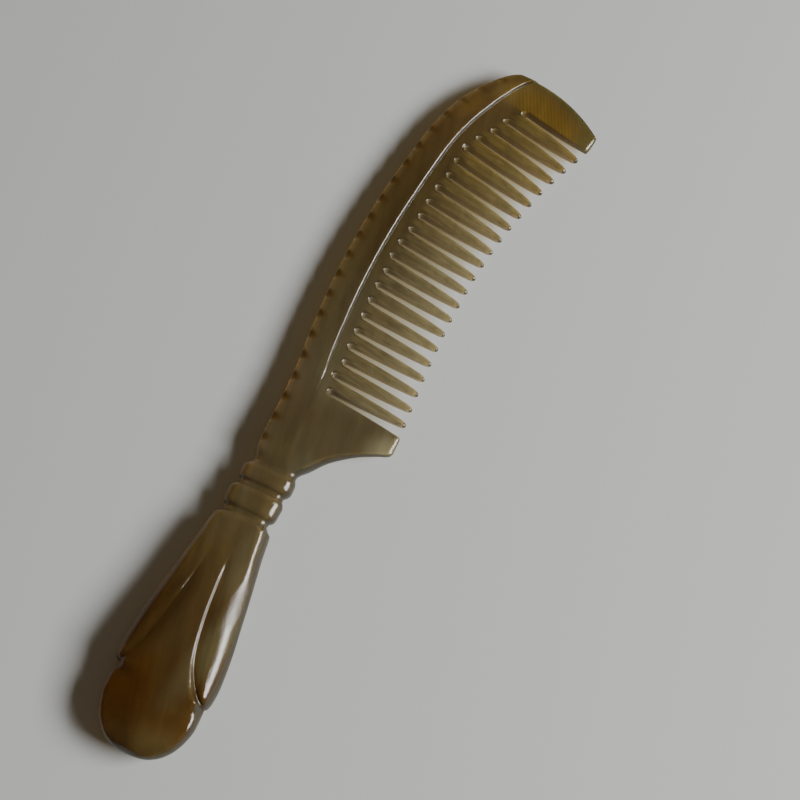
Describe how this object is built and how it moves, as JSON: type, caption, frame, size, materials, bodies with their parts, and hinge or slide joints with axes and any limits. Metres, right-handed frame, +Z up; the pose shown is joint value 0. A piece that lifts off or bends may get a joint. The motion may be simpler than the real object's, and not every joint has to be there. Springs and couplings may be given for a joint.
{
  "type": "handled horn comb",
  "caption": "Curved one-piece horn comb with coarse tapered teeth, a raised back band with a notched edge, a ringed neck and a carved handle with a round end.",
  "frame": {"origin": "centre of the lying comb's box in x and y, at the height of the table that it lies on", "axes": "+Y from the handle's round end to the end of the blade, +X to the side of the teeth, +Z up from the table"},
  "size_m": [0.047, 0.1906, 0.0096],
  "materials": {
    "horn": "polished translucent horn, dark brown at the handle, olive and amber in the thin blade"
  },
  "bodies": {
    "root": {"comb": "horn"}
  },
  "joints": []
}
